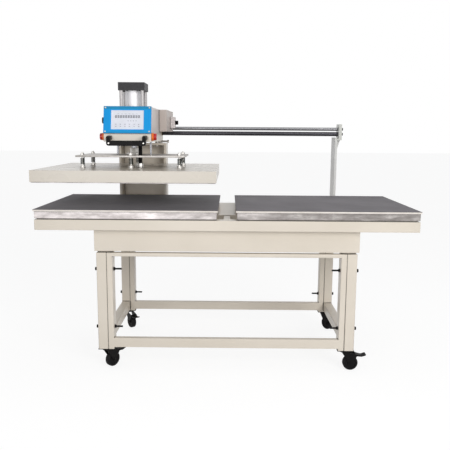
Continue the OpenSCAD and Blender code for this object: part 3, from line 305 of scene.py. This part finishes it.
def cloth(name, tone, low, weave=2600, rough=(0.62, 0.78), sheen=0.1):
    """Rubberised cloth: a fine square weave with faint press marks."""
    s = Shader(name, sheen=sheen, spec=0.22)
    wave_x = s.node("ShaderNodeTexWave", bands_direction="X")
    wave_y = s.node("ShaderNodeTexWave", bands_direction="Y")
    for wave in (wave_x, wave_y):
        wave.inputs["Scale"].default_value = weave / (2 * math.pi)
        wave.inputs["Distortion"].default_value = 0.4
        s.link(s.coords, wave.inputs["Vector"])
    both = s.node("ShaderNodeMath", operation="MULTIPLY")
    s.link(wave_x.outputs["Fac"], both.inputs[0])
    s.link(wave_y.outputs["Fac"], both.inputs[1])
    s.colour(s.ramp(s.noise(1.6, 5), [(0.34, low), (0.68, tone)]))
    s.roughness(s.span(s.noise(5, 4), *rough))
    s.bump(both.outputs["Value"], 0.12, 0.0002)
    return s.mat


def sponge(name, tone, low):
    """Closed cell silicone foam, cut with a knife: small pores and a slightly grey cut face."""
    s = Shader(name, rough=0.85, spec=0.3)
    cells = s.node("ShaderNodeTexVoronoi")
    cells.inputs["Scale"].default_value = 900
    s.link(s.coords, cells.inputs["Vector"])
    s.colour(s.ramp(s.noise(22, 4), [(0.32, low), (0.66, tone)]))
    s.roughness(s.span(s.noise(60, 3), 0.75, 0.9))
    s.bump(cells.outputs["Distance"], 0.35, 0.0004)
    return s.mat


panel_low, panel_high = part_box("panel_bezel")
M = {
    "beige_paint": paint("beige_paint", srgb(228, 219, 206), srgb(219, 210, 196)),
    "cover_paint": paint("cover_paint", srgb(214, 207, 196), srgb(208, 200, 188), (0.24, 0.34),
                         coat=0.25, bump=0.05),
    "arm_paint": paint("arm_paint", srgb(198, 187, 180), srgb(190, 178, 171), (0.36, 0.48), coat=0.1),
    "post_paint": post_paint("post_paint", srgb(228, 228, 226), srgb(216, 216, 213),
                             (srgb(214, 215, 209), srgb(206, 207, 201))),
    "box_paint": paint("box_paint", srgb(226, 219, 217), srgb(216, 209, 206), (0.3, 0.42)),
    "aluminium_plate": milled("aluminium_plate", srgb(240, 233, 232), srgb(213, 206, 205),
                              srgb(176, 169, 167)),
    "foam": sponge("foam", srgb(240, 234, 227), srgb(228, 221, 213)),
    "pad_sheet": cloth("pad_sheet", srgb(108, 103, 109), srgb(94, 90, 95)),
    "rod_steel": metal("rod_steel", srgb(160, 160, 163), srgb(140, 140, 144), (0.18, 0.28),
                       stretch=(0.05, 1, 1), scale=120, bump=0.02),
    "rod_pair": rod_pair("rod_pair", (srgb(142, 142, 145), srgb(130, 130, 134)),
                         (srgb(74, 73, 78), srgb(58, 57, 62))),
    "bright_steel": metal("bright_steel", srgb(210, 208, 204), srgb(184, 181, 177), (0.3, 0.45), scale=120),
    "plate_steel": metal("plate_steel", srgb(190, 186, 182), srgb(166, 162, 158), (0.34, 0.48),
                         scale=90, bump=0.04, metallic=0.6),
    "tie_rod": metal("tie_rod", srgb(196, 193, 193), srgb(180, 176, 176), (0.4, 0.5),
                     stretch=(1, 1, 0.1), scale=120, bump=0.02, metallic=0.3),
    "black_steel": metal("black_steel", srgb(22, 20, 20), srgb(14, 13, 13), (0.38, 0.52),
                         scale=80, bump=0.08, metallic=0.0, spec=0.10),
    "blue_panel": panel_plastic("blue_panel", srgb(6, 157, 230), srgb(4, 150, 222), srgb(28, 138, 186),
                                panel_low[2], panel_high[2]),
    "white_panel": plastic("white_panel", srgb(232, 234, 244), srgb(226, 229, 238), (0.25, 0.38), coat=0.1),
    "black_plastic": plastic("black_plastic", srgb(22, 20, 20), srgb(13, 12, 12), (0.30, 0.42), spec=0.07),
    "red_plastic": plastic("red_plastic", srgb(186, 14, 8), srgb(160, 8, 6), (0.2, 0.3), coat=0.2),
    "orange_plastic": plastic("orange_plastic", srgb(244, 124, 34), srgb(232, 104, 24), (0.22, 0.34),
                              coat=0.1),
    "bush_metal": metal("bush_metal", srgb(196, 164, 104), srgb(160, 130, 78), (0.25, 0.4)),
    "insulation": sponge("insulation", srgb(206, 196, 168), srgb(184, 172, 142)),
    "spring_steel": metal("spring_steel", srgb(36, 48, 40), srgb(18, 26, 20), (0.34, 0.48),
                          scale=200, metallic=0.1),
    "tyre_rubber": plastic("tyre_rubber", srgb(28, 26, 27), srgb(18, 17, 18), (0.5, 0.7), spec=0.12),
    "cylinder_black": metal("cylinder_black", srgb(68, 68, 70), srgb(52, 52, 54), (0.40, 0.54),
                            scale=150, metallic=0.0, spec=0.15),
    "barrel": metal("barrel", srgb(240, 239, 241), srgb(232, 231, 234), (0.44, 0.54),
                    stretch=(1, 1, 0.04), scale=120, bump=0.02, metallic=0.35),
    "print_dark": plastic("print_dark", srgb(58, 60, 70), srgb(44, 46, 56), (0.25, 0.35)),
    "print_grey": plastic("print_grey", srgb(140, 142, 156), srgb(124, 127, 142), (0.3, 0.4)),
}
LOOK = dict(slot_of)
LOOK.update(platen_cover="cover_paint", control_box="box_paint", cylinder_barrel="barrel", tie_rods="tie_rod",
            overhead_rods="rod_pair", button_collars="orange_plastic", arm_housing="arm_paint",
            post_left="post_paint", post_right="post_paint", pressure_plate="plate_steel")


# Geometry helpers
def add_object(name, mesh):
    ob = bpy.data.objects.new(name, mesh)
    bpy.context.scene.collection.objects.link(ob)
    return ob


def smooth(mesh):
    for face in mesh.polygons:
        face.use_smooth = True
    mesh.set_sharp_from_angle(angle=math.radians(60))


def stand_for(ob, node):
    ob.data.materials.clear()
    ob.data.materials.append(M[LOOK[node]])
    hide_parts(node)
    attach(ob, body_of[node])
    return ob


# Dressed CAD nodes: sharp edges are rounded, flat faces stay flat
SNUG = ("start_button_left", "start_button_right", "button_collars")
TUBES = ("side_frame_left", "side_frame_right", "front_frame", "rear_frame", "base_frame", "base_beams",
         "table_frame")
WELD_DISTANCE = 2e-6
FLAT_ANGLE = math.radians(1)
BEVEL_ANGLE = math.radians(40)
SHARP_ANGLE = math.radians(50)
FLAT_BREADTH = 0.010


def breadth(face):
    """The width of a long face, or half the side of a square one."""
    return 2 * face.calc_area() / face.calc_perimeter()


def long_edge(edge, width):
    """An outer edge along a tube, but no rim of a bolt hole or of an open end."""
    return edge.is_convex and edge.calc_length() > 4 * width and min(map(breadth, edge.link_faces)) > width


def to_round(edge, node, width):
    """Snug pieces keep their inner corners, and tubes are rounded along their length only."""
    if len(edge.link_faces) != 2 or edge.calc_face_angle(0) <= BEVEL_ANGLE:
        return False
    return (edge.is_convex or node not in SNUG) and (node not in TUBES or long_edge(edge, width))


def dress(node, width, segments):
    """A copy of a CAD node with its sharp edges really rounded."""
    mesh = nodes[node].data.copy()
    ob = add_object(node + "_dressed", mesh)
    bm = bmesh.new()
    bm.from_mesh(mesh)
    bmesh.ops.remove_doubles(bm, verts=bm.verts, dist=WELD_DISTANCE)
    bmesh.ops.dissolve_limit(bm, angle_limit=FLAT_ANGLE, verts=bm.verts, edges=bm.edges)
    sharp = [e for e in bm.edges if to_round(e, node, width)]
    bmesh.ops.bevel(bm, geom=sharp, offset=width, offset_type="OFFSET", segments=segments, profile=0.5,
                    affect="EDGES", clamp_overlap=True)
    for edge in bm.edges:
        edge.smooth = len(edge.link_faces) != 2 or edge.calc_face_angle(0) < SHARP_ANGLE
    for face in bm.faces:
        face.smooth = breadth(face) < FLAT_BREADTH
    bmesh.ops.triangulate(bm, faces=[f for f in bm.faces if len(f.verts) > 4])
    bm.to_mesh(mesh)
    bm.free()
    for stale in [a for a in mesh.attributes if a.name == "custom_normal"]:
        mesh.attributes.remove(stale)
    return stand_for(ob, node)


# The radius of the rounding and its steps
DRESS = {
    "side_frame_left": (0.004, 3), "side_frame_right": (0.004, 3), "front_frame": (0.004, 3),
    "rear_frame": (0.004, 3), "base_frame": (0.002, 2), "base_beams": (0.002, 2), "table_frame": (0.003, 2),
    "lower_plates": (0.001, 2), "post_left": (0.0015, 2), "post_right": (0.0015, 2), "column": (0.002, 2),
    "bearing_blocks": (0.0015, 2), "lead_collar": (0.0006, 2),
    "arm_housing": (0.004, 3), "head_box": (0.0025, 2), "control_box": (0.0009, 2),
    "panel_bezel": (0.0018, 2), "handle": (0.0045, 3), "cylinder_caps": (0.002, 2),
    "pressure_plate": (0.0012, 2), "heat_platen": (0.001, 2), "platen_cover": (0.0009, 2),
    **{"caster_wheel_" + corner: (0.0015, 2) for corner in ("fl", "fr", "rl", "rr")},
    "valve_block": (0.0015, 2), "power_inlet": (0.001, 2),
    "start_button_left": (0.0012, 2), "start_button_right": (0.0012, 2), "button_collars": (0.0008, 2),
    "side_knob": (0.0008, 2), "regulator_knob": (0.0008, 2), "rod_coupling": (0.001, 2),
    "carriage_blocks": (0.001, 2), "carriage_rail": (0.0008, 2), "caster_plates": (0.0008, 2),
}
for node, (width, segments) in DRESS.items():
    dress(node, width, segments)


# Pads and foam: soft layers with rounded, slightly uneven edges
CELLS = (50, 40)
EDGE_BAND = 0.02
EDGE_PITCH = Vector((14, 14, 60))
DIP = 0.0001
DIP_PITCH = 6
RING_SHARES = ((1, 0), (0, 0.25), (0, 0.75), (0.3, 0.93), (1, 1))


def ring_points(x0, x1, y0, y1):
    """Points around a rectangle, as many along each side as it has cells."""
    nx, ny = CELLS
    points = [(x0 + (x1 - x0) * i / nx, y0) for i in range(nx)]
    points += [(x1, y0 + (y1 - y0) * i / ny) for i in range(ny)]
    points += [(x1 - (x1 - x0) * i / nx, y1) for i in range(nx)]
    points += [(x0, y1 - (y1 - y0) * i / ny) for i in range(ny)]
    return points


def close_ring(bm, ring, low, high, top, lift):
    """A grid of faces inside a ring. The top one dips a little."""
    nx, ny = CELLS
    grid = [[None] * (ny + 1) for _ in range(nx + 1)]
    for i in range(nx):
        grid[i][0] = ring[i]
        grid[nx - i][ny] = ring[nx + ny + i]
    for i in range(ny):
        grid[nx][i] = ring[nx + i]
        grid[0][ny - i] = ring[2 * nx + ny + i]
    z = ring[0].co.z
    for i in range(1, nx):
        for j in range(1, ny):
            x = low.x + (high.x - low.x) * i / nx
            y = low.y + (high.y - low.y) * j / ny
            dip = DIP * noise.noise(Vector((x * DIP_PITCH, y * DIP_PITCH, 2)) + lift) - DIP if top else 0
            grid[i][j] = bm.verts.new((x, y, z + dip))
    for i in range(nx):
        for j in range(ny):
            quad = [grid[i][j], grid[i + 1][j], grid[i + 1][j + 1], grid[i][j + 1]]
            bm.faces.new(quad if top else quad[::-1])


def soft_layer(name, low, high, round_off, wave, seed):
    """One layer: rings up its edge, each with its own inset and height, and a grid on both sides."""
    bm = bmesh.new()
    lift = Vector((seed * 3.1, seed * 1.7, 0))
    rings = []
    for inset_share, height_share in RING_SHARES:
        inset = round_off * inset_share
        z = low.z + (high.z - low.z) * height_share
        ring = []
        for x, y in ring_points(low.x + inset, high.x - inset, low.y + inset, high.y - inset):
            push = wave * (0.5 + 0.5 * noise.noise(Vector((x, y, z)) * EDGE_PITCH + lift))
            sx = -push if x > high.x - EDGE_BAND else push if x < low.x + EDGE_BAND else 0
            sy = -push if y > high.y - EDGE_BAND else push if y < low.y + EDGE_BAND else 0
            ring.append(bm.verts.new((x + sx, y + sy, z)))
        rings.append(ring)
    for a, b in zip(rings, rings[1:]):
        for i in range(len(a)):
            j = (i + 1) % len(a)
            bm.faces.new((a[i], a[j], b[j], b[i]))
    close_ring(bm, rings[0], low, high, False, lift)
    close_ring(bm, rings[-1], low, high, True, lift)
    bmesh.ops.recalc_face_normals(bm, faces=bm.faces)
    return finish_mesh(name, bm)


def finish_mesh(name, bm):
    mesh = bpy.data.meshes.new(name)
    bm.to_mesh(mesh)
    bm.free()
    smooth(mesh)
    return add_object(name, mesh)


def join(name, obs):
    bm = bmesh.new()
    for ob in obs:
        bm.from_mesh(ob.data)
        bpy.data.objects.remove(ob)
    return finish_mesh(name, bm)


def both_stations(name, node, round_off, wave):
    low, high = map(Vector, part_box(node))
    inner = min(v.co.x for v in nodes[node].data.vertices if v.co.x > 0)
    left = soft_layer("left", low, Vector((-inner, high.y, high.z)), round_off, wave, 1)
    right = soft_layer("right", Vector((inner, low.y, low.z)), high, round_off, wave, 2)
    ob = stand_for(join(name, [left, right]), node)


both_stations("pad_tops", "pads", 0.0006, 0.0004)
both_stations("foam_sheets", "foam_layers", 0.0008, 0.0012)


# Springs: round wire, with the same turns and the same straight ends as the solids
SPRING_WIRE = 0.0036
SPRING_OUTER = 0.026
SPRING_TURNS = 6
SPRING_ROW = 3
WIRE_SIDES = 12
STEPS_PER_TURN = 22
BEND_STEPS = 4


def coil_path(height):
    """Angle, height and slope along one spring: upright foot, bend, coil, and the same again on top."""
    coil = (SPRING_OUTER - SPRING_WIRE) / 2
    rise = height - 4 * SPRING_WIRE
    slope = math.atan(rise / (2 * math.pi * coil * SPRING_TURNS))
    lean = math.pi / 2 - slope

    def bend(share):
        t = lean * share
        angle = SPRING_WIRE * (1 - math.cos(t)) / coil
        return angle, SPRING_WIRE + SPRING_WIRE * math.sin(t), math.pi / 2 - t

    foot = [(0, 0, math.pi / 2), (0, SPRING_WIRE, math.pi / 2)]
    foot += [bend(i / BEND_STEPS) for i in range(1, BEND_STEPS)]
    a0, z0 = bend(1)[:2]
    whole = 2 * math.pi * SPRING_TURNS
    count = STEPS_PER_TURN * SPRING_TURNS
    middle = [(a0 + whole * i / count, z0 + (height - 2 * z0) * i / count, slope) for i in range(count + 1)]
    head = [(2 * a0 + whole - a, height - z, s) for a, z, s in reversed(foot)]
    return foot + middle + head


def spring_mesh(bm, centre, low, high):
    coil = (SPRING_OUTER - SPRING_WIRE) / 2
    thick = SPRING_WIRE / 2
    rings = []
    for a, z, slope in coil_path(high - low):
        ring = []
        for k in range(WIRE_SIDES):
            p = 2 * math.pi * k / WIRE_SIDES
            out = coil + thick * math.cos(p)
            side = thick * math.sin(p) * math.sin(slope)
            up = -thick * math.sin(p) * math.cos(slope)
            ring.append(bm.verts.new((centre[0] + out * math.cos(a) - side * math.sin(a),
                                      centre[1] + out * math.sin(a) + side * math.cos(a), low + z + up)))
        rings.append(ring)
    for a, b in zip(rings, rings[1:]):
        for k in range(WIRE_SIDES):
            n = (k + 1) % WIRE_SIDES
            bm.faces.new((a[k], a[n], b[n], b[k]))
    bm.faces.new(rings[0][::-1])
    bm.faces.new(rings[-1])


def springs():
    low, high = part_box("platen_springs")
    bm = bmesh.new()
    r = SPRING_OUTER / 2
    for i in range(SPRING_ROW):
        x = low[0] + r + i * (high[0] - low[0] - 2 * r) / (SPRING_ROW - 1)
        for y in (low[1] + r, high[1] - r):
            spring_mesh(bm, (x, y), low[2], high[2])
    bmesh.ops.recalc_face_normals(bm, faces=bm.faces)
    ob = stand_for(finish_mesh("spring_wires", bm), "platen_springs")
    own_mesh(ob)


springs()


# Marks on the display: plain bars
BAR_THICK = 0.0006
BAR_BEVEL = 0.00015
SCREEN_LEVEL = -0.0009
FACE_LEVEL = 0.0
KEY_LEVEL = 0.0010
DIGITS = 10
DIGIT_PITCH = 0.0140
DIGIT_SIZE = (0.0098, 0.0135)
DIGIT_STROKE = 0.0024
DIGIT_ROW = 0.018
KEYS = 6
KEY_PITCH = 0.025
KEY_ROWS = (-0.024, -0.036)
KEY_BARS = ((0.0, (0.0078, 0.0016)), (-0.0022, (0.0050, 0.0010)))
TICKS = 6
TICK_START = -0.050
TICK_PITCH = 0.0200
TICK_ROW = 0.0325
TICK_SIZE = (0.0100, 0.0012)
DOTS = 4
DOT_START = 0.004
DOT_PITCH = 0.0145
DOT_BARS = ((-0.0045, (0.0072, 0.0016)), (-0.0080, (0.0020, 0.0020)))


def panel_frame():
    """The middle of the leaning display, its directions right, up and out, and how far out its face is."""
    key_height = 0.001
    mesh = nodes["display_panel"].data
    out = sum((f.normal * f.area for f in mesh.polygons if f.normal.y < -0.5), Vector()).normalized()
    right = Vector((1, 0, 0))
    up = out.cross(right)
    points = [v.co for v in mesh.vertices]
    spans = [(min(p.dot(d) for p in points), max(p.dot(d) for p in points)) for d in (right, up, out)]
    middle = right * sum(spans[0]) / 2 + up * sum(spans[1]) / 2
    return middle, right, up, out, spans[2][1] - key_height


def digit_bars(x):
    """Place and size of the seven bars of one digit."""
    wide, tall = DIGIT_SIZE
    upright_height = tall / 2 - DIGIT_STROKE * 1.6
    level = [(x, DIGIT_ROW + k * (tall - DIGIT_STROKE) / 2, wide, DIGIT_STROKE) for k in (-1, 0, 1)]
    upright = [(x + i * (wide - DIGIT_STROKE) / 2, DIGIT_ROW + k * tall / 4, DIGIT_STROKE, upright_height)
               for i in (-1, 1) for k in (-1, 1)]
    return level + upright


def marks():
    middle, right, up, out, face = panel_frame()
    turn = Matrix((right, up, out)).transposed()
    dark, grey = bmesh.new(), bmesh.new()

    def bar(bm, x, z, w, h, level):
        made = bmesh.ops.create_cube(bm, size=1)
        for v in made["verts"]:
            place = Vector((x + v.co.x * w, z + v.co.y * h, face + level + v.co.z * BAR_THICK))
            v.co = middle + turn @ place

    for i in range(DIGITS):
        for x, z, w, h in digit_bars((i - (DIGITS - 1) / 2) * DIGIT_PITCH):
            bar(dark, x, z, w, h, SCREEN_LEVEL)
    for row in KEY_ROWS:
        for i in range(KEYS):
            for drop, size in KEY_BARS:
                bar(grey, (i - (KEYS - 1) / 2) * KEY_PITCH, row + drop, *size, KEY_LEVEL)
    for i in range(TICKS):
        bar(grey, TICK_START + i * TICK_PITCH, TICK_ROW, *TICK_SIZE, FACE_LEVEL)
    for i in range(DOTS):
        for z, size in DOT_BARS:
            bar(grey, DOT_START + i * DOT_PITCH, z, *size, FACE_LEVEL)
    for name, bm, look, slot in (("panel_digits", dark, "print_dark", "black_plastic"),
                                 ("panel_marks", grey, "print_grey", "white_panel")):
        bmesh.ops.bevel(bm, geom=list(bm.edges), offset=BAR_BEVEL, segments=1, affect="EDGES",
                        clamp_overlap=True)
        mesh = bpy.data.meshes.new(name)
        bm.to_mesh(mesh)
        bm.free()
        ob = add_object(name, mesh)
        ob.data.materials.append(M[look])
        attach(ob, body_of["display_panel"])


marks()


# CAD nodes that keep their own shape
for name, ob in nodes.items():
    for slot in ob.material_slots:
        slot.material = M[LOOK[name]]


# Floor, light and background
FLOOR_SIZE = 40
FLOOR_TONES = (0.62, 0.64)
FLOOR_GLOW = 1.26
FLOOR_LIFT = 0.68
AMBIENT = 0.42


def plane(name, size):
    mesh = bpy.data.meshes.new(name)
    corners = [(-size, -size, 0), (size, -size, 0), (size, size, 0), (-size, size, 0)]
    mesh.from_pydata(corners, [], [(0, 1, 2, 3)])
    return add_object(name, mesh)


def background_rays(tree):
    """1 for the rays that show the background: those of the camera, of gloss and of glass."""
    path = tree.nodes.new("ShaderNodeLightPath")
    seen = path.outputs["Is Camera Ray"]
    for kind in ("Is Glossy Ray", "Is Transmission Ray"):
        either = tree.nodes.new("ShaderNodeMath")
        either.operation = "MAXIMUM"
        tree.links.new(seen, either.inputs[0])
        tree.links.new(path.outputs[kind], either.inputs[1])
        seen = either.outputs["Value"]
    return seen


def floor():
    """Pale floor: it is seen lifted to the white of the background, and it keeps the shadows."""
    ob = plane("floor", FLOOR_SIZE)
    s = Shader("floor", rough=0.9, spec=0.1)
    low, high = ((tone, tone, tone, 1) for tone in FLOOR_TONES)
    s.colour(s.ramp(s.noise(0.7, 2), [(0.3, low), (0.7, high)]))
    s.roughness(s.span(s.noise(4, 2), 0.85, 0.95))
    glow = s.node("ShaderNodeEmission")
    glow.inputs["Strength"].default_value = FLOOR_GLOW
    lifted = s.node("ShaderNodeMixShader")
    lifted.inputs["Fac"].default_value = FLOOR_LIFT
    s.link(s.out.outputs["BSDF"], lifted.inputs[1])
    s.link(glow.outputs["Emission"], lifted.inputs[2])
    seen = s.node("ShaderNodeMixShader")
    s.link(background_rays(s.tree), seen.inputs["Fac"])
    s.link(s.out.outputs["BSDF"], seen.inputs[1])
    s.link(lifted.outputs["Shader"], seen.inputs[2])
    s.link(seen.outputs["Shader"], s.tree.nodes["Material Output"].inputs["Surface"])
    ob.data.materials.append(s.mat)


def lamp(name, place, aim, size, power, colour=(1, 1, 1)):
    """An area lamp at a place, turned to the point that it is aimed at."""
    data = bpy.data.lights.new(name, "AREA")
    data.shape = "RECTANGLE"
    data.size, data.size_y = size
    data.energy = power
    data.color = colour
    ob = bpy.data.objects.new(name, data)
    ob.location = place
    ob.rotation_euler = (Vector(aim) - Vector(place)).to_track_quat("-Z", "Y").to_euler()
    bpy.context.scene.collection.objects.link(ob)


def world():
    made = bpy.data.worlds.new("studio")
    made.use_nodes = True
    tree = made.node_tree
    back = tree.nodes["Background"]
    back.inputs["Color"].default_value = (1, 1, 1, 1)
    back.inputs["Strength"].default_value = 1.0
    soft = tree.nodes.new("ShaderNodeBackground")
    soft.inputs["Color"].default_value = (0.97, 0.98, 1.0, 1)
    soft.inputs["Strength"].default_value = AMBIENT
    mix = tree.nodes.new("ShaderNodeMixShader")
    tree.links.new(background_rays(tree), mix.inputs["Fac"])
    tree.links.new(soft.outputs["Background"], mix.inputs[1])
    tree.links.new(back.outputs["Background"], mix.inputs[2])
    tree.links.new(mix.outputs["Shader"], tree.nodes["World Output"].inputs["Surface"])
    bpy.context.scene.world = made


floor()
world()
lamp("key", place=(2.5, -4.6, 2.6), aim=(0.1, -0.3, 0.95), size=(2.4, 2.4), power=116, colour=(1, 0.99, 0.97))
lamp("fill", place=(-1.2, -4.8, 1.5), aim=(-0.3, 0, 1.0), size=(2.2, 1.8), power=46)
lamp("top", place=(0, 0.2, 4.2), aim=(0, 0, 0.9), size=(3, 2.5), power=7)
bpy.context.scene.view_settings.view_transform = "Standard"
